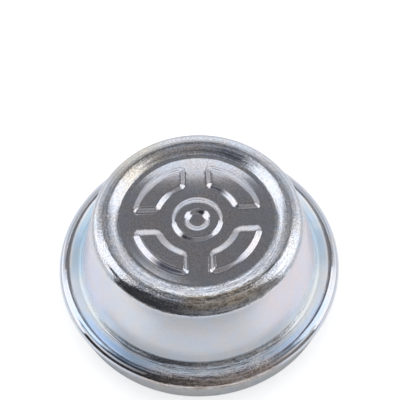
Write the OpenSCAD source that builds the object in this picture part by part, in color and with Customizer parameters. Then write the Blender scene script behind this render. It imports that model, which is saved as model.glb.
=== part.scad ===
// Hub grease cap, drawn from one sheet of steel and open below.
// The axis is Z, the cut edge of the skirt stands on z = 0, and the dome points up.

/* [Sheet] */
// Thickness of the steel sheet
sheet_t = 1.0; // [0.7:0.05:1.1]
// Overall height, from the skirt's edge to the crest of the rim
height = 29.0; // [27:0.5:35]

/* [Skirt, pressed into the hub] */
// Outside diameter of the skirt
skirt_d = 64.5; // [62:0.1:66]
// Height of the straight skirt
skirt_h = 5.3; // [4.5:0.1:7]
// Depth of the lead-in round the skirt's edge
lead_in = 0.3; // [0.1:0.05:0.5]
// Height of the lead-in
lead_h = 0.8; // [0.4:0.1:1.5]

/* [Flange bead, stops against the hub] */
// How far the bead stands out past the skirt
bead_out = 1.95; // [1:0.05:2.5]
// Radius over the bead
bead_r = 2.1; // [1.6:0.1:2.4]
// Fillet where the bead leaves the skirt
tuck_r = 0.8; // [0.5:0.1:1.2]

/* [Wall] */
// From the bead's crest in to the bottom of the groove at the wall's foot
groove_in = 2.5; // [2.3:0.1:3.5]
// Depth of the groove below the bead's crest
groove_depth = 0.6; // [0.4:0.1:1.1]
// Fillet at the wall's foot
root_r = 1.0; // [0.8:0.1:1.5]
// Lean of the wall from upright, in degrees
wall_draft = 12.4; // [3:0.2:16]

/* [Rim and panel] */
// Radius over the rim
rim_r = 3.3; // [2.6:0.1:3.8]
// Depth of the panel below the rim's crest
panel_depth = 1.4; // [0.8:0.1:2]
// Fillet where the rim runs down into the panel
foot_r = 1.7; // [1.2:0.1:2.2]

/* [Boss and dimple] */
// Width of the boss's flat land round the dimple
land_w = 1.5; // [0.5:0.1:2]
// Height of the boss above the panel
boss_h = 0.5; // [0.3:0.05:0.7]
// Diameter of the dimple at its edge
dimple_d = 6.6; // [5:0.2:8]
// Depth of the dimple below the boss's top
dimple_depth = 0.8; // [0.5:0.05:1]
// Radius over a raised edge on the panel
step_edge_r = 1.3; // [1.2:0.05:1.5]
// Fillet at the bottom of a step on the panel
step_foot_r = 0.9; // [0.6:0.05:1.2]

/* [Stiffening pads] */
// Number of arc-shaped pads round the boss
pad_count = 4; // [3:1:6]
// Width of a pad at its foot
pad_w = 6.6; // [4:0.2:9]
// Height of the pads above the panel
pad_h = 0.5; // [0.3:0.05:0.7]
// Run of the slope from a pad's foot to its flat top
pad_slope = 1.2; // [0.9:0.1:1.6]
// Gap between the feet of neighbouring pads
pad_gap = 4.6; // [3.4:0.2:6]

/* [Hidden] */

// Straight run left between two curves that bend opposite ways
run = 0.3;
// Turn between two points of a curve, in degrees
arc_step = 9;
// Facets round the axis
round_fn = 144;

skirt_x = skirt_d / 2;
bead_x = skirt_x + bead_out - bead_r;
bead_z = skirt_h + rise(bead_r + tuck_r, bead_r + tuck_r - bead_out);
root_x = bead_x - groove_in;
root_z = bead_z + bead_r - groove_depth + root_r;
rim_z = height - rim_r;
rim_x = root_x - (root_r + rim_r + (rim_z - root_z) * sin(wall_draft)) / cos(wall_draft);
panel_z = height - panel_depth;
boss_z = panel_z + boss_h;
foot_z = panel_z + foot_r;
dimple_x = dimple_d / 2;
boss_x = dimple_x + land_w;
step_r = step_edge_r + step_foot_r;

// Each bend is [centre x, centre z, radius over the outside], from the skirt to the axis.
// The radius is negative where the outside is hollow.
tuck = [skirt_x + tuck_r, skirt_h, -tuck_r];
bead = [bead_x, bead_z, bead_r];
root = [root_x, root_z, -root_r];
rim = [rim_x, rim_z, rim_r];
rim_foot = [rim_x - rise(rim_r + foot_r, foot_z - rim_z), foot_z, -foot_r];
boss_edge = [boss_x, boss_z - step_edge_r, step_edge_r];
boss_foot = [boss_x + rise(step_r, step_r - boss_h), panel_z + step_foot_r, -step_foot_r];
dimple_edge = [dimple_x, boss_z - step_edge_r, step_edge_r];
dimple_floor = [dimple_x - rise(step_r, step_r - dimple_depth),
                boss_z - dimple_depth + step_foot_r, -step_foot_r];
bends = [tuck, bead, root, rim, rim_foot, boss_foot, boss_edge, dimple_edge, dimple_floor];

// The pads run round the middle of the flat between the boss and the rim
pad_x = (rim_foot[0] + boss_foot[0]) / 2;

// Second leg of the triangle whose long side spans two bends with a short run between them
function rise(radii, leg) = sqrt(radii * radii + run * run - leg * leg);

// Direction that the outside faces on the straight between bend i and the next one
function facing(i) =
    let(a = bends[i], b = bends[i + 1], dx = b[0] - a[0], dz = b[1] - a[1])
    90 + atan2(-dx, dz) - acos((a[2] - b[2]) / norm([dx, dz]));

// The skirt faces out along the radius, and the middle of the cap faces up
function faces_in(i) = i == 0 ? 0 : facing(i - 1);
function faces_out(i) = i == len(bends) - 1 ? 90 : facing(i);

// Points round one bend, at a depth below the outside of the sheet
function bend_points(i, depth) =
    let(b = bends[i], from = faces_in(i), to = faces_out(i), steps = ceil(abs(to - from) / arc_step))
    [for (k = [0:steps])
        let(a = from + (to - from) * k / steps)
        [b[0], b[1]] + (b[2] - depth) * [cos(a), sin(a)]];

// One face of the sheet, from the skirt's straight wall to the edge of the dimple's floor
function face_points(depth) = [for (i = [0:len(bends) - 1]) each bend_points(i, depth)];

// Puts the points of a face in the opposite order
function reversed(points) = [for (i = [len(points) - 1:-1:0]) points[i]];

// Half of the cap's section, of one thickness all along
module section() {
    floor_z = boss_z - dimple_depth;
    polygon([
        [skirt_x - sheet_t, 0],
        [skirt_x - lead_in, 0],
        [skirt_x, lead_h],
        each face_points(0),
        [0, floor_z],
        [0, floor_z - sheet_t],
        each reversed(face_points(sheet_t))
    ]);
}

// Ring with sloping sides, which stands on the panel and runs down into the sheet
module pad_ring() {
    top = pad_w / 2 - pad_slope;
    sunk = pad_w / 2 + pad_slope;
    translate([0, 0, panel_z])
        rotate_extrude($fn = round_fn)
            polygon([
                [pad_x - sunk, -pad_h],
                [pad_x + sunk, -pad_h],
                [pad_x + top, pad_h],
                [pad_x - top, pad_h]
            ]);
}

// Wedge between two pads, with sides that slope as the pads' ends do
module pad_cut() {
    half = pad_gap / 2;
    above = 2;
    translate([0, 0, panel_z])
        rotate([90, 0, 90])
            linear_extrude(rim_x)
                polygon([
                    [pad_slope - half, -pad_h],
                    [half - pad_slope, -pad_h],
                    [half + pad_slope * above, pad_h * above],
                    [-half - pad_slope * above, pad_h * above]
                ]);
}

// All the pads, standing on the panel
module pads() {
    difference() {
        pad_ring();
        for (i = [0:pad_count - 1])
            rotate([0, 0, 360 * i / pad_count])
                pad_cut();
    }
}

// The cap itself: the drawn shell, with the pads pressed up out of the panel
module grease_cap() {
    color([0.74, 0.77, 0.82])
        difference() {
            union() {
                rotate_extrude($fn = round_fn) section();
                pads();
            }
            translate([0, 0, -sheet_t]) pads();
        }
}

grease_cap();
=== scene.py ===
import bpy
import math
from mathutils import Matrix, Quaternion, Vector


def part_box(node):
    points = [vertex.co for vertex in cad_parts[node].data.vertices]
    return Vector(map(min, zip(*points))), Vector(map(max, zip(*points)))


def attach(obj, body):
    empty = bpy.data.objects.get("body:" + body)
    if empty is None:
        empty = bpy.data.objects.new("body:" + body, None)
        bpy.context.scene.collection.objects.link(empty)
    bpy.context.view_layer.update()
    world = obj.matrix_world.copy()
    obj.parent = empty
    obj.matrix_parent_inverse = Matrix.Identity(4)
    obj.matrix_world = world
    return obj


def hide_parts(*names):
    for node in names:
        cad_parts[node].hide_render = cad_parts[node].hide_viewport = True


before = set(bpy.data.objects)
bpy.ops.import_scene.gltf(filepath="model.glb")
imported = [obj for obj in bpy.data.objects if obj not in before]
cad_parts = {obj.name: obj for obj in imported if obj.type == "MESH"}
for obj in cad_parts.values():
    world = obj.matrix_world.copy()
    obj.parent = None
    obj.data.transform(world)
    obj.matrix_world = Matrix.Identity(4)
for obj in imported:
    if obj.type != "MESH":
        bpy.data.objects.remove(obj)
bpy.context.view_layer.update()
print("frame loaded")

mm = 0.001
low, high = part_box("grease_cap")
capHeight = (high.z - low.z) / mm
capRadius = (high.x - low.x) / 2 / mm

# the drawn shell, in millimetres and degrees
cap = {
    "sheet": 1.0,
    "beadOut": 1.95,         # how far the bead stands out past the skirt
    "skirtHeight": 5.3,      # the straight part
    "beadRadius": 2.1,
    "tuckRadius": 0.8,
    "grooveIn": 2.5,         # from the bead's crest to the bottom of the groove
    "grooveDepth": 0.6,
    "rootRadius": 1.0,
    "wallDraft": 12.4,
    "rimRadius": 3.3,
    "panelDepth": 1.4,
    "footRadius": 1.7,
    "landWidth": 1.5,        # flat of the boss round the dimple
    "bossHeight": 0.5,
    "dimpleRadius": 3.3,
    "dimpleDepth": 0.8,
    "edgeRadius": 1.3,       # over the boss and into the dimple
    "stepRadius": 0.9,       # hollow side of the same steps
    "run": 0.3,              # straight between two opposite bends
    "arcStep": 6.0,          # turn between rings round a bend
    "ringGap": 0.28,         # between rings on the flat panel
    "flatWithin": 0.05,      # off the panel's height, and still flat panel
    "turns": 240,            # segments round the axis
    "weld": 0.002,           # points closer than this become one
    "lipRound": 0.22,        # on the cut edge
    "lipWithin": 0.01,       # off the cut edge's circles, and still on them
}

# the pads pressed up out of the panel
pads = {
    "count": 4,
    "width": 6.6,
    "height": 0.5,
    "slope": 1.5,            # run from the foot to the flat top
    "corner": 1.6,           # round in plan
    "gap": 4.6,              # between the feet of two pads
}


def rise(radii, leg):
    # second leg of the triangle whose long side spans two bends with a short run between them
    return math.sqrt(radii ** 2 + cap["run"] ** 2 - leg ** 2)


def capBends():
    # each bend is distance from the axis, height and radius over the outside, with hollow ones negative
    c = cap
    skirtX = capRadius - c["beadOut"]
    beadX = capRadius - c["beadRadius"]
    beadSum = c["beadRadius"] + c["tuckRadius"]
    beadZ = c["skirtHeight"] + rise(beadSum, beadSum - c["beadOut"])
    rootX = beadX - c["grooveIn"]
    rootZ = beadZ + c["beadRadius"] - c["grooveDepth"] + c["rootRadius"]
    rimZ = capHeight - c["rimRadius"]
    draft = math.radians(c["wallDraft"])
    wallSum = c["rootRadius"] + c["rimRadius"]
    rimX = rootX - (wallSum + (rimZ - rootZ) * math.sin(draft)) / math.cos(draft)
    panelZ = capHeight - c["panelDepth"]
    footZ = panelZ + c["footRadius"]
    footX = rimX - rise(c["rimRadius"] + c["footRadius"], footZ - rimZ)
    stepSum = c["edgeRadius"] + c["stepRadius"]
    bossZ = panelZ + c["bossHeight"]
    bossX = c["dimpleRadius"] + c["landWidth"]
    floorX = c["dimpleRadius"] - rise(stepSum, stepSum - c["dimpleDepth"])
    return [
        (skirtX + c["tuckRadius"], c["skirtHeight"], -c["tuckRadius"]),
        (beadX, beadZ, c["beadRadius"]),
        (rootX, rootZ, -c["rootRadius"]),
        (rimX, rimZ, c["rimRadius"]),
        (footX, footZ, -c["footRadius"]),
        (bossX + rise(stepSum, stepSum - c["bossHeight"]), panelZ + c["stepRadius"], -c["stepRadius"]),
        (bossX, bossZ - c["edgeRadius"], c["edgeRadius"]),
        (c["dimpleRadius"], bossZ - c["edgeRadius"], c["edgeRadius"]),
        (floorX, bossZ - c["dimpleDepth"] + c["stepRadius"], -c["stepRadius"]),
    ]


bends = capBends()


def facing(a, b):
    # the way the outside faces on the straight between two bends, in degrees from the radius
    dx = b[0] - a[0]
    dz = b[1] - a[1]
    return 90 + math.degrees(math.atan2(-dx, dz) - math.acos((a[2] - b[2]) / math.hypot(dx, dz)))


def selectVerts(obj, test):
    # picks vertices by place, from edit mode and back to it
    bpy.ops.object.mode_set(mode="OBJECT")
    for e in obj.data.edges:
        e.select = False
    for f in obj.data.polygons:
        f.select = False
    for v in obj.data.vertices:
        v.select = test(v.co)
    bpy.ops.object.mode_set(mode="EDIT")


def selectEdges(obj, test):
    # picks edges by their two ends, and leaves edit mode on
    bpy.ops.object.mode_set(mode="OBJECT")
    points = obj.data.vertices
    for f in obj.data.polygons:
        f.select = False
    for v in points:
        v.select = False
    for e in obj.data.edges:
        e.select = test(points[e.vertices[0]].co, points[e.vertices[1]].co)
    bpy.ops.object.mode_set(mode="EDIT")


def startPoint(name, x, y, z):
    # one point of a small plane, at its place in millimetres and left in edit mode to be extruded
    bpy.ops.object.select_all(action="DESELECT")
    bpy.ops.mesh.primitive_plane_add(size=mm, location=(0, 0, 0))
    obj = bpy.context.active_object
    obj.name = name
    obj.data.name = name
    bpy.ops.object.mode_set(mode="EDIT")
    selectVerts(obj, lambda co: not (co.x > 0 and co.y > 0))
    bpy.ops.mesh.delete(type="VERT")
    bpy.ops.mesh.select_all(action="SELECT")
    bpy.ops.transform.translate(value=(x * mm - mm / 2, y * mm - mm / 2, z * mm))
    return obj


def extrudeTo(here, there):
    # places in the XZ plane, in millimetres
    step = Vector((there[0] - here[0], 0, there[1] - here[1])) * mm
    bpy.ops.mesh.extrude_region_move(TRANSFORM_OT_translate={"value": step})
    return there


def onBend(bend, angle):
    x, z, r = bend
    return (x + r * math.cos(math.radians(angle)), z + r * math.sin(math.radians(angle)))


def drawSection():
    # the outside of the sheet as a chain of points, from the cut edge to the axis
    skirtX = capRadius - cap["beadOut"]
    panelZ = capHeight - cap["panelDepth"]
    here = extrudeTo((skirtX, 0), (skirtX, cap["skirtHeight"]))
    towards = 0.0
    for i, bend in enumerate(bends):
        away = facing(bends[i], bends[i + 1]) if i + 1 < len(bends) else 90.0
        start = onBend(bend, towards)
        onPanel = max(abs(start[1] - panelZ), abs(here[1] - panelZ)) < cap["flatWithin"]
        steps = max(1, round((here[0] - start[0]) / cap["ringGap"])) if onPanel else 1
        origin = here
        for k in range(1, steps + 1):
            part = k / steps
            here = extrudeTo(here, (origin[0] + (start[0] - origin[0]) * part,
                                    origin[1] + (start[1] - origin[1]) * part))
        turn = away - towards
        bpy.ops.mesh.spin(
            steps=max(2, math.ceil(abs(turn) / cap["arcStep"])),
            angle=math.radians(turn),
            center=(bend[0] * mm, 0, bend[1] * mm),
            axis=(0, 1, 0),
        )
        here = onBend(bend, away)
        towards = away
    extrudeTo(here, (0, here[1]))


def padReach(co):
    # how far inside a pad's foot a point lies, in millimetres, and negative outside
    x = co.x / mm
    y = co.y / mm
    pitch = 2 * math.pi / pads["count"]
    nearest = round(math.atan2(y, x) / pitch) * pitch       # the gap's own middle line
    across = abs(-x * math.sin(nearest) + y * math.cos(nearest))
    along = math.hypot(x, y)
    middle = (bends[4][0] + bends[5][0]) / 2                # between the rim's foot and the boss's
    side = pads["width"] / 2 - abs(along - middle)
    end = across - pads["gap"] / 2
    corner = pads["corner"]
    if min(side, end) >= corner:
        return min(side, end)
    return corner - math.hypot(max(corner - side, 0), max(corner - end, 0))


def buildCap():
    obj = startPoint("capShell", capRadius - cap["beadOut"], 0, 0)
    drawSection()

    # round the axis, seam and pole closed
    bpy.ops.mesh.select_all(action="SELECT")
    bpy.ops.mesh.spin(steps=cap["turns"], angle=2 * math.pi, center=(0, 0, 0), axis=(0, 0, 1))
    bpy.ops.mesh.select_all(action="SELECT")
    bpy.ops.mesh.remove_doubles(threshold=cap["weld"] * mm)
    bpy.ops.mesh.normals_make_consistent(inside=False)
    bpy.ops.object.mode_set(mode="OBJECT")

    # the pads, lifted with a soft edge
    lifted = obj.vertex_groups.new(name="pads")
    for v in obj.data.vertices:
        part = padReach(v.co) / pads["slope"]
        if part > 0 and v.co.z > (capHeight - 2 * cap["panelDepth"]) * mm:
            part = min(part, 1)
            lifted.add([v.index], part * part * (3 - 2 * part), "REPLACE")
    lift = obj.modifiers.new("pads", "DISPLACE")
    lift.vertex_group = lifted.name
    lift.direction = "Z"
    lift.mid_level = 0
    lift.strength = pads["height"] * mm
    bpy.ops.object.modifier_apply(modifier=lift.name)

    solid = obj.modifiers.new("sheet", "SOLIDIFY")
    solid.thickness = cap["sheet"] * mm
    solid.offset = -1
    solid.use_even_offset = True
    bpy.ops.object.modifier_apply(modifier=solid.name)

    # both corners of the cut edge, slightly broken
    within = cap["lipWithin"] * mm
    selectEdges(obj, lambda a, b: max(a.z, b.z) < within and abs(a.xy.length - b.xy.length) < within)
    bpy.ops.mesh.bevel(offset=cap["lipRound"] * mm, segments=3, profile=0.5, affect="EDGES")
    bpy.ops.object.mode_set(mode="OBJECT")
    bpy.ops.object.shade_smooth()
    return obj


def join(tree, value, socket):
    # a link from another socket, or a plain number or colour
    if isinstance(value, bpy.types.NodeSocket):
        tree.links.new(value, socket)
    elif isinstance(value, (int, float)):
        socket.default_value = value
    else:
        socket.default_value = (*value, 1.0)


def maths(tree, operation, a, b=0.0, c=0.0):
    made = tree.nodes.new("ShaderNodeMath")
    made.operation = operation
    for socket, value in zip(made.inputs, (a, b, c)):
        join(tree, value, socket)
    return made.outputs[0]


def ramp(tree, value, start, end, first=0.0, last=1.0):
    # from first at start to last at end
    made = tree.nodes.new("ShaderNodeMapRange")
    made.interpolation_type = "SMOOTHSTEP"
    tree.links.new(value, made.inputs["Value"])
    made.inputs["From Min"].default_value = start
    made.inputs["From Max"].default_value = end
    made.inputs["To Min"].default_value = first
    made.inputs["To Max"].default_value = last
    return made.outputs["Result"]


def between(tree, value, start, end, soft, above=None):
    # one from start to end, fading out over soft on both sides, or over another length above
    up = ramp(tree, value, start - soft, start)
    down = ramp(tree, value, end, end + (above or soft), 1.0, 0.0)
    return maths(tree, "MULTIPLY", up, down)


def blend(tree, factor, a, b, kind="MIX"):
    made = tree.nodes.new("ShaderNodeMix")
    made.data_type = "RGBA"
    made.blend_type = kind
    join(tree, factor, made.inputs[0])
    join(tree, a, made.inputs[6])        # the sockets for colours, which share their names with others
    join(tree, b, made.inputs[7])
    return made.outputs[2]


def noise(tree, place, texture):
    made = tree.nodes.new("ShaderNodeTexNoise")
    made.noise_dimensions = "4D"
    tree.links.new(place, made.inputs["Vector"])
    made.inputs["Scale"].default_value = texture["scale"]
    made.inputs["Detail"].default_value = texture["detail"]
    made.inputs["W"].default_value = texture["seed"]
    return made.outputs["Fac"]


def capPlace(tree):
    # where a point lies on the cap: place, radius and height in millimetres, azimuth in degrees
    coords = tree.nodes.new("ShaderNodeTexCoord")
    scaled = tree.nodes.new("ShaderNodeVectorMath")
    scaled.operation = "SCALE"
    scaled.inputs["Scale"].default_value = 1 / mm
    tree.links.new(coords.outputs["Object"], scaled.inputs[0])
    split = tree.nodes.new("ShaderNodeSeparateXYZ")
    tree.links.new(scaled.outputs[0], split.inputs[0])
    x, y, height = split.outputs
    turned = maths(tree, "ARCTAN2", x, maths(tree, "MULTIPLY", y, -1.0))
    return {
        "point": scaled.outputs[0],
        "x": x,
        "height": height,
        "radius": maths(tree, "SQRT", maths(tree, "MULTIPLY_ADD", x, x, maths(tree, "MULTIPLY", y, y))),
        "azimuth": maths(tree, "MULTIPLY", turned, math.degrees(1)),
    }


def newMaterial(name):
    mat = bpy.data.materials.new(name)
    mat.use_nodes = True
    return mat, mat.node_tree.nodes["Principled BSDF"]


# what the bright metal mirrors: cards by where they stand as seen from the cap
# azimuth 0 is the camera's side and 90 the right, half sizes in degrees, later cards in front
tent = {
    "room": (0.03, 0.032, 0.04),
    "plain": (0.93, 0.94, 0.96),     # what lights the table and the duller metal
    "cards": [
        {"azimuth": 180, "elevation": 10, "wide": 90, "tall": 53, "soft": 3, "colour": (0.84, 0.86, 0.9)},
        {"azimuth": 180, "elevation": 46, "wide": 50, "tall": 4, "soft": 3, "colour": (0.4, 0.41, 0.44)},
        {"azimuth": -145, "elevation": 27, "wide": 14, "tall": 13, "soft": 8, "colour": (0.5, 0.51, 0.54)},
        {"azimuth": 145, "elevation": 27, "wide": 14, "tall": 13, "soft": 8, "colour": (0.5, 0.51, 0.54)},
        {"azimuth": 0, "elevation": 76, "wide": 34, "tall": 22, "soft": 8, "colour": (0.31, 0.32, 0.35)},
        {"azimuth": 20, "elevation": 66, "wide": 20, "tall": 12, "soft": 10, "colour": (0.24, 0.22, 0.21)},
        {"azimuth": 92, "elevation": 27, "wide": 22, "tall": 33, "soft": 9, "colour": (1.18, 1.18, 1.2)},
        {"azimuth": -96, "elevation": 27, "wide": 21, "tall": 33, "soft": 9, "colour": (1.18, 1.19, 1.22)},
        {"azimuth": -119, "elevation": 3, "wide": 13, "tall": 12, "soft": 5, "colour": (1.2, 1.21, 1.24)},
        {"azimuth": 130, "elevation": 57, "wide": 14, "tall": 11, "soft": 4, "colour": (1.2, 1.2, 1.24)},
        {"azimuth": -130, "elevation": 57, "wide": 14, "tall": 11, "soft": 4, "colour": (1.2, 1.2, 1.24)},
        {"azimuth": -58, "elevation": 62, "wide": 15, "tall": 12, "soft": 7, "colour": (0.08, 0.08, 0.1)},
    ],
}


def aim(azimuth, elevation):
    a = math.radians(azimuth)
    e = math.radians(elevation)
    return Vector((math.sin(a) * math.cos(e), -math.cos(a) * math.cos(e), math.sin(e)))


def background(tree, colour):
    made = tree.nodes.new("ShaderNodeBackground")
    join(tree, colour, made.inputs["Color"])
    return made.outputs[0]


def eitherShader(tree, factor, a, b):
    made = tree.nodes.new("ShaderNodeMixShader")
    for socket, value in zip(made.inputs, (factor, a, b)):
        tree.links.new(value, socket)
    return made.outputs[0]


def tentWorld():
    # the cards are for the metal only: the camera sees white, and all else is lit at a plain level
    world = bpy.data.worlds.new("tent")
    bpy.context.scene.world = world
    world.use_nodes = True
    tree = world.node_tree
    tree.nodes.clear()
    way = tree.nodes.new("ShaderNodeTexCoord").outputs["Generated"]
    colour = tent["room"]
    for card in tent["cards"]:
        ahead = aim(card["azimuth"], card["elevation"])
        up = aim(card["azimuth"], card["elevation"] + 90)
        dots = []
        for axis in (ahead, ahead.cross(up), up):
            dot = tree.nodes.new("ShaderNodeVectorMath")
            dot.operation = "DOT_PRODUCT"
            tree.links.new(way, dot.inputs[0])
            dot.inputs[1].default_value = axis
            dots.append(dot.outputs["Value"])
        mask = ramp(tree, dots[0], 0.0, 0.05)               # nothing behind the card's own half
        for dot, half in ((dots[1], card["wide"]), (dots[2], card["tall"])):
            off = maths(tree, "ABSOLUTE", maths(tree, "ARCTAN2", dot, dots[0]))
            inner = math.radians(half - card["soft"])
            outer = math.radians(half + card["soft"])
            mask = maths(tree, "MULTIPLY", mask, ramp(tree, off, inner, outer, 1.0, 0.0))
        colour = blend(tree, mask, colour, card["colour"])
    rays = tree.nodes.new("ShaderNodeLightPath")
    glossy = rays.outputs["Is Glossy Ray"]
    seen = rays.outputs["Is Camera Ray"]
    light = eitherShader(tree, glossy, background(tree, tent["plain"]), background(tree, colour))
    light = eitherShader(tree, seen, light, background(tree, (1.0, 1.0, 1.0)))
    out = tree.nodes.new("ShaderNodeOutputWorld")
    tree.links.new(light, out.inputs["Surface"])


def mirroredOnly(obj, mat):
    # seen by nothing but the metal
    obj.data.materials.append(mat)
    obj.visible_camera = False
    obj.visible_diffuse = False
    obj.visible_shadow = False


# screens round the axis, in millimetres and degrees, each with its light from one azimuth to another
screens = {
    "colour": (0.02, 0.02, 0.025),
    "rough": 0.9,
    "light": (1.0, 0.97, 0.96),
    "steps": 32,
    "each": [
        # dark ones in front
        {"radius": 72, "bottom": 0, "height": 120, "from": -70, "to": 66, "glow": (-34, 22, 0.0, 0.18)},
        {"radius": 72, "bottom": 42, "height": 20, "from": -83, "to": -70, "glow": (-34, 22, 0.0, 0.18)},
        # low light strips for the bead's outer side
        {"radius": 41, "bottom": 12.8, "height": 6, "from": -66, "to": -27, "glow": (-58, -26, 0.8, 0.2)},
        {"radius": 41, "bottom": 12.8, "height": 5.5, "from": 28, "to": 60, "glow": (26, 54, 0.2, 0.7)},
    ],
}


def addScreen(screen):
    foot = aim(screen["from"], 0) * screen["radius"]
    obj = startPoint("darkFlag", foot.x, foot.y, screen["bottom"])
    extrudeTo((0, 0), (0, screen["height"]))
    bpy.ops.mesh.select_all(action="SELECT")
    turn = math.radians(screen["from"] - screen["to"])
    bpy.ops.mesh.spin(steps=screens["steps"], angle=turn, center=(0, 0, 0), axis=(0, 0, 1))
    bpy.ops.object.mode_set(mode="OBJECT")
    mat, shader = newMaterial("flagBlack")
    shader.inputs["Base Color"].default_value = (*screens["colour"], 1.0)
    shader.inputs["Roughness"].default_value = screens["rough"]
    shader.inputs["Emission Color"].default_value = (*screens["light"], 1.0)
    tree = mat.node_tree
    glow = ramp(tree, capPlace(tree)["azimuth"], *screen["glow"])
    tree.links.new(glow, shader.inputs["Emission Strength"])
    mirroredOnly(obj, mat)


# a dark board high behind the cap, with a small light area in front of it
# corners are across and up, in millimetres
boards = {
    "board": {
        "behind": 200,
        "colour": (0.17, 0.168, 0.175),
        "corners": (
            (-235, 262), (-44, 262), (-37, 299), (37, 304), (44, 262), (235, 262),
            (235, 338), (135, 352), (135, 760), (-135, 760), (-135, 352), (-235, 338),
        ),
    },
    "window": {
        "behind": 199,
        "colour": (0.72, 0.73, 0.76),
        "corners": ((-54, 346), (-4, 404), (-54, 408)),
    },
}


def addBoard(name):
    board = boards[name]
    here = board["corners"][0]
    obj = startPoint(name, here[0], board["behind"], here[1])
    for corner in board["corners"][1:]:
        here = extrudeTo(here, corner)
    bpy.ops.mesh.select_all(action="SELECT")
    bpy.ops.mesh.edge_face_add()
    bpy.ops.object.mode_set(mode="OBJECT")
    mat, shader = newMaterial(name + "Plain")
    shader.inputs["Base Color"].default_value = (0.0, 0.0, 0.0, 1.0)
    shader.inputs["Specular IOR Level"].default_value = 0.0
    shader.inputs["Emission Color"].default_value = (*board["colour"], 1.0)
    shader.inputs["Emission Strength"].default_value = 1.0
    mirroredOnly(obj, mat)


# the plated steel, by zone of height, by texture and by patch, in millimetres and degrees
# milk is how far the plating turns from bright metal to dull white
zinc = {
    "colour": (0.8, 0.82, 0.86),
    "zoneSoft": 0.8,
    "zones": {
        "flange": {"from": 0, "to": 99, "rough": 0.09, "grain": 1.3, "streaks": 1.1, "milk": 0.0},
        "skirt": {"from": -9, "to": 5.2, "rough": 0.34, "grain": 0.3, "streaks": 0.2, "milk": 0.1},
        "wall": {"from": 11.2, "to": 25.7, "rough": 0.25, "grain": 0.22, "streaks": 0.0, "milk": 0.44},
        "foot": {"from": 11.2, "to": 11.4, "rough": 0.28, "grain": 0.1, "streaks": 0.0, "milk": 0.66,
                 "above": 5.0},
        "rim": {"from": 26.9, "to": 40, "rough": 0.1, "grain": 1.0, "streaks": 1.0, "milk": 0.0},
    },
    "panel": {"edge": (17.5, 19.5), "rough": 0.065, "relief": 0.014, "shade": 0.55},     # smoother
    "grain": {"scale": 4.0, "detail": 2.0, "seed": 0.0, "depth": 0.035, "shade": 1.8},
    "uneven": {"from": 0.38, "to": 0.62, "least": 0.75, "most": 1.2},       # the grain, from cloud to cloud
    "streaks": {"scale": 2.8, "detail": 2.0, "seed": 7.0, "depth": 0.035, "shade": 2.6, "along": 0.06},
    "pits": {"scale": 1.8, "detail": 2.0, "seed": 11.0, "depth": 0.055, "shade": 1.3},
    "specks": {"scale": 5.0, "detail": 1.0, "seed": 9.0, "from": 0.6, "to": 0.7, "milk": 0.22},
    "waves": {"scale": 0.2, "detail": 1.0, "seed": 3.0, "depth": 0.06},
    "cloud": {"scale": 0.3, "detail": 3.0, "seed": 5.0, "from": 0.4, "to": 0.6},
    "cool": (0.96, 0.985, 1.03),
    "warm": (1.015, 0.98, 0.96),
    # the scuffs lie round one azimuth and fade out beside it, sooner on the flange
    "scuffs": {
        "azimuth": 5,
        "fade": (30, 70),
        "flangeFade": (16, 32),
        "flangeEdge": (28.4, 29.4),
        "rest": 0.1,         # what is left beside them
    },
    "patchSoft": 0.5,
    "patches": [
        # the panel's own darker, browner steel
        {"azimuth": (0, 999), "radius": (-1, 15.5), "height": (26, 28), "soft": 1.5,
         "colour": (0.98, 0.955, 0.945)},
        # neutral skirt
        {"azimuth": (0, 999), "radius": (31, 40), "height": (-9, 5.0), "colour": (1.02, 1.01, 0.95)},
        # gold and brown
        {"azimuth": (-140, 26), "radius": (19, 25), "height": (27.6, 30), "colour": (1.0, 0.93, 0.8)},
        {"azimuth": (12, 30), "radius": (21.5, 24.2), "height": (26.9, 30), "colour": (1.0, 0.87, 0.7)},
        {"azimuth": (4, 36), "radius": (32.0, 36), "height": (6.5, 9.9), "colour": (0.96, 0.82, 0.72)},
        # painted highlight, whiter and duller, in the groove at both sides, and blue there
        {"azimuth": (-92, 50), "radius": (28.9, 31.3), "height": (8, 11), "milk": 0.8,
         "colour": (1.14, 1.15, 1.12)},
        {"azimuth": (90, 54), "radius": (28.9, 31.3), "height": (8, 11), "milk": 0.8,
         "colour": (1.14, 1.14, 1.1)},
        {"azimuth": (-110, 32), "radius": (28.9, 30.8), "height": (8, 11), "colour": (0.72, 0.86, 0.97)},
        {"azimuth": (102, 26), "radius": (28.9, 30.8), "height": (8, 11), "colour": (0.8, 0.9, 1.0)},
        {"azimuth": (-44, 28), "radius": (30.6, 33.0), "height": (8, 11), "colour": (0.76, 0.93, 1.1)},
        {"azimuth": (48, 24), "radius": (30.8, 33.0), "height": (8, 11), "colour": (0.82, 0.94, 1.06)},
        # pink, lavender and blue on the wall
        {"azimuth": (70, 50), "radius": (20, 30), "height": (14, 26), "colour": (1.06, 0.975, 0.98)},
        {"azimuth": (-80, 35), "radius": (20, 30), "height": (12, 24), "colour": (1.0, 0.97, 1.02)},
        {"azimuth": (0, 999), "radius": (20, 29), "height": (9, 12), "soft": 3, "colour": (0.96, 1.0, 1.01)},
    ],
}


def plateLevels(tree, place):
    # each zone is laid over the ones before it
    level = {"rough": 0.0, "grain": 0.0, "streaks": 0.0, "milk": 0.0}
    for zone in zinc["zones"].values():
        mask = between(tree, place["height"], zone["from"], zone["to"], zinc["zoneSoft"], zone.get("above"))
        keep = maths(tree, "SUBTRACT", 1.0, mask)
        for key, value in level.items():
            level[key] = maths(tree, "MULTIPLY_ADD", mask, zone[key], maths(tree, "MULTIPLY", keep, value))
    return level


def plateShade(tree, pattern, depth):
    # darker and lighter round the middle of a pattern
    return maths(tree, "MULTIPLY", maths(tree, "SUBTRACT", pattern, 0.5), depth)


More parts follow.
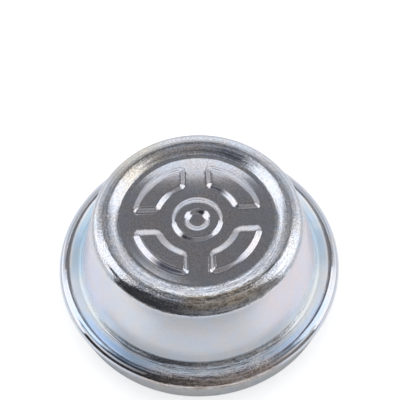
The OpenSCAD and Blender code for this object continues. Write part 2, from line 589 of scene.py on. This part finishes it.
def tintsAndPaintedHighlight(tree, place, colour, milk):
    # tints, and duller, whiter plating, partly a painted highlight
    for patch in zinc["patches"]:
        middle, half = patch["azimuth"]
        soft = patch.get("soft", zinc["patchSoft"])
        off = maths(tree, "SUBTRACT", place["azimuth"], middle)
        off = maths(tree, "ABSOLUTE", maths(tree, "WRAP", off, 180.0, -180.0))
        mask = ramp(tree, off, half / 2, half, 1.0, 0.0)
        mask = maths(tree, "MULTIPLY", mask, between(tree, place["radius"], *patch["radius"], soft))
        mask = maths(tree, "MULTIPLY", mask, between(tree, place["height"], *patch["height"], soft))
        colour = blend(tree, mask, colour, patch["colour"], "MULTIPLY")
        if "milk" in patch:
            milk = maths(tree, "MAXIMUM", milk, maths(tree, "MULTIPLY", mask, patch["milk"]))
    return colour, milk


def zincPlate():
    mat, shader = newMaterial("zincPlate")
    tree = mat.node_tree
    place = capPlace(tree)
    level = plateLevels(tree, place)
    edge = zinc["panel"]["edge"]
    panel = ramp(tree, place["radius"], *edge, 1.0, 0.0)
    smoother = zinc["panel"]["rough"] - zinc["zones"]["rim"]["rough"]
    rough = maths(tree, "MULTIPLY_ADD", panel, smoother, level["rough"])
    tree.links.new(rough, shader.inputs["Roughness"])

    # the patterns: grain of the plating, streaks left by drawing, pits, and slow waves of the sheet
    along = tree.nodes.new("ShaderNodeCombineXYZ")          # stretched round the axis
    turned = maths(tree, "MULTIPLY", place["azimuth"], zinc["streaks"]["along"])
    for value, socket in zip((place["radius"], place["height"], turned), along.inputs):
        tree.links.new(value, socket)
    grain = noise(tree, place["point"], zinc["grain"])
    streaks = noise(tree, along.outputs[0], zinc["streaks"])
    pits = noise(tree, place["point"], zinc["pits"])
    waves = noise(tree, place["point"], zinc["waves"])
    cloud = noise(tree, place["point"], zinc["cloud"])
    specks = noise(tree, place["point"], zinc["specks"])

    # how strong they are, from place to place
    scuffs = zinc["scuffs"]
    aside = maths(tree, "ABSOLUTE", maths(tree, "SUBTRACT", place["azimuth"], scuffs["azimuth"]))
    onFlange = ramp(tree, place["radius"], *scuffs["flangeEdge"])
    worn = ramp(tree, maths(tree, "MULTIPLY", aside, onFlange), *scuffs["flangeFade"], 1.0, scuffs["rest"])
    spread = zinc["uneven"]
    uneven = ramp(tree, cloud, spread["from"], spread["to"], spread["least"], spread["most"])
    grainy = maths(tree, "MULTIPLY", maths(tree, "MULTIPLY", level["grain"], uneven), worn)
    streaky = maths(tree, "MULTIPLY", level["streaks"], maths(tree, "SUBTRACT", 1.0, panel))
    streaky = maths(tree, "MULTIPLY", streaky, worn)
    scuffed = maths(tree, "MULTIPLY", streaky, ramp(tree, aside, *scuffs["fade"], 1.0, 0.0))
    still = ramp(tree, place["radius"], *edge, zinc["panel"]["relief"], 1.0)

    # relief, each pattern with its strength and depth
    relief = 0.0
    for pattern, strength, texture in (
        (grain, maths(tree, "MULTIPLY", grainy, still), zinc["grain"]),
        (waves, still, zinc["waves"]),
        (streaks, streaky, zinc["streaks"]),
        (pits, scuffed, zinc["pits"]),
    ):
        raised = maths(tree, "MULTIPLY", pattern, strength)
        relief = maths(tree, "MULTIPLY_ADD", raised, texture["depth"] * mm, relief)
    bump = tree.nodes.new("ShaderNodeBump")
    bump.inputs["Distance"].default_value = 1.0
    tree.links.new(relief, bump.inputs["Height"])
    tree.links.new(bump.outputs[0], shader.inputs["Normal"])

    # clouded colour, darker and lighter with the relief
    tint = ramp(tree, cloud, zinc["cloud"]["from"], zinc["cloud"]["to"])
    colour = blend(tree, tint, zinc["cool"], zinc["warm"])
    colour = blend(tree, 1.0, colour, zinc["colour"], "MULTIPLY")
    shade = plateShade(tree, grain, zinc["grain"]["shade"])
    shade = maths(tree, "MULTIPLY", shade, ramp(tree, place["radius"], *edge, zinc["panel"]["shade"], 1.0))
    shade = maths(tree, "MULTIPLY_ADD", shade, grainy, 1.0)
    rougher = maths(tree, "ADD", plateShade(tree, streaks, zinc["streaks"]["shade"]),
                    plateShade(tree, pits, zinc["pits"]["shade"]))
    shade = maths(tree, "MULTIPLY_ADD", rougher, scuffed, shade)
    grey = tree.nodes.new("ShaderNodeCombineXYZ")
    for socket in grey.inputs:
        tree.links.new(shade, socket)
    colour = blend(tree, 1.0, colour, grey.outputs[0], "MULTIPLY")

    # dull white specks
    specks = ramp(tree, specks, zinc["specks"]["from"], zinc["specks"]["to"], 0.0, zinc["specks"]["milk"])
    milk = maths(tree, "MULTIPLY_ADD", specks, level["grain"], level["milk"])
    colour, milk = tintsAndPaintedHighlight(tree, place, colour, milk)
    tree.links.new(colour, shader.inputs["Base Color"])
    tree.links.new(maths(tree, "SUBTRACT", 1.0, milk), shader.inputs["Metallic"])
    return mat


# the table, white to the camera with the cap's soft shadow left on it, and greyer in the metal
table = {
    "size": 3.0,                        # in metres, all else in millimetres and degrees
    "colour": (0.84, 0.84, 0.84),
    "rough": 0.9,
    "glow": 0.4,                        # to the camera only
    "mirrored": (0.66, 0.675, 0.7),
    # painted light: the table glows to the metal from both sides of the cap and from close round it
    "sides": {"from": 36, "to": 52, "soft": 12, "glow": 0.22},
    "near": {"from": 43, "to": 57, "soft": 3, "glow": 0.04},
    # painted shade: the table darker to the metal in front, before the dark screens
    "front": {"from": 58, "to": 63, "left": -72, "right": 68, "soft": 4, "dark": 0.9},
}


def tableGlow(tree, distance, band):
    mask = between(tree, distance, band["from"], band["to"], band["soft"])
    return maths(tree, "MULTIPLY", mask, band["glow"])


def whiteTable():
    bpy.ops.object.select_all(action="DESELECT")
    bpy.ops.mesh.primitive_plane_add(size=table["size"], location=(0, 0, 0))
    obj = bpy.context.active_object
    obj.name = "table"
    mat, shader = newMaterial("tableWhite")
    tree = mat.node_tree
    shader.inputs["Roughness"].default_value = table["rough"]
    shader.inputs["Specular IOR Level"].default_value = 0.0
    shader.inputs["Emission Color"].default_value = (1.0, 1.0, 1.0, 1.0)
    place = capPlace(tree)
    rays = tree.nodes.new("ShaderNodeLightPath")
    seen = maths(tree, "MULTIPLY", rays.outputs["Is Camera Ray"], table["glow"])
    sides = tableGlow(tree, maths(tree, "ABSOLUTE", place["x"]), table["sides"])
    near = tableGlow(tree, place["radius"], table["near"])
    mirrored = rays.outputs["Is Glossy Ray"]
    glow = maths(tree, "MULTIPLY_ADD", mirrored, maths(tree, "ADD", sides, near), seen)
    tree.links.new(glow, shader.inputs["Emission Strength"])
    front = table["front"]
    shade = maths(tree, "MULTIPLY", ramp(tree, place["radius"], front["from"], front["to"]),
                  between(tree, place["azimuth"], front["left"], front["right"], front["soft"]))
    shade = maths(tree, "MULTIPLY", shade, front["dark"])
    # the table's colour in the metal, with the painted shade in front
    dull = blend(tree, shade, table["mirrored"], (0.0, 0.0, 0.0))
    colour = blend(tree, mirrored, table["colour"], dull)
    tree.links.new(colour, shader.inputs["Base Color"])
    obj.data.materials.append(mat)


# the photograph's viewpoint, in millimetres and degrees
view = {
    "distance": 374.0,       # from the middle of the base
    "elevation": 59.45,
    "aimAt": (0.92, 23.9),   # on the table
    "roll": -2.09,
    "sensor": 36.0,
    "focal": 134.6,
    "clip": 10.0,
}


def addCamera():
    bpy.ops.object.camera_add()
    cam = bpy.context.active_object
    cam.name = "camera"
    eye = aim(0, view["elevation"]) * view["distance"] * mm
    target = Vector((*view["aimAt"], 0)) * mm
    look = (target - eye).to_track_quat("-Z", "Y")
    cam.rotation_mode = "QUATERNION"
    cam.location = eye
    cam.rotation_quaternion = look @ Quaternion((0, 0, 1), math.radians(view["roll"]))
    cam.data.sensor_width = view["sensor"]
    cam.data.lens = view["focal"]
    cam.data.clip_start = view["clip"] * mm
    bpy.context.scene.camera = cam


shell = buildCap()
shell.data.materials.append(zincPlate())
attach(shell, "root")
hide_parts("grease_cap")
print("shell:", len(shell.data.polygons), "faces")

whiteTable()
for screen in screens["each"]:
    addScreen(screen)
for name in boards:
    addBoard(name)
print("table, screens and boards placed")

tentWorld()
addCamera()
bpy.context.scene.view_settings.view_transform = "Standard"
print("light and camera set")

bpy.context.view_layer.update()
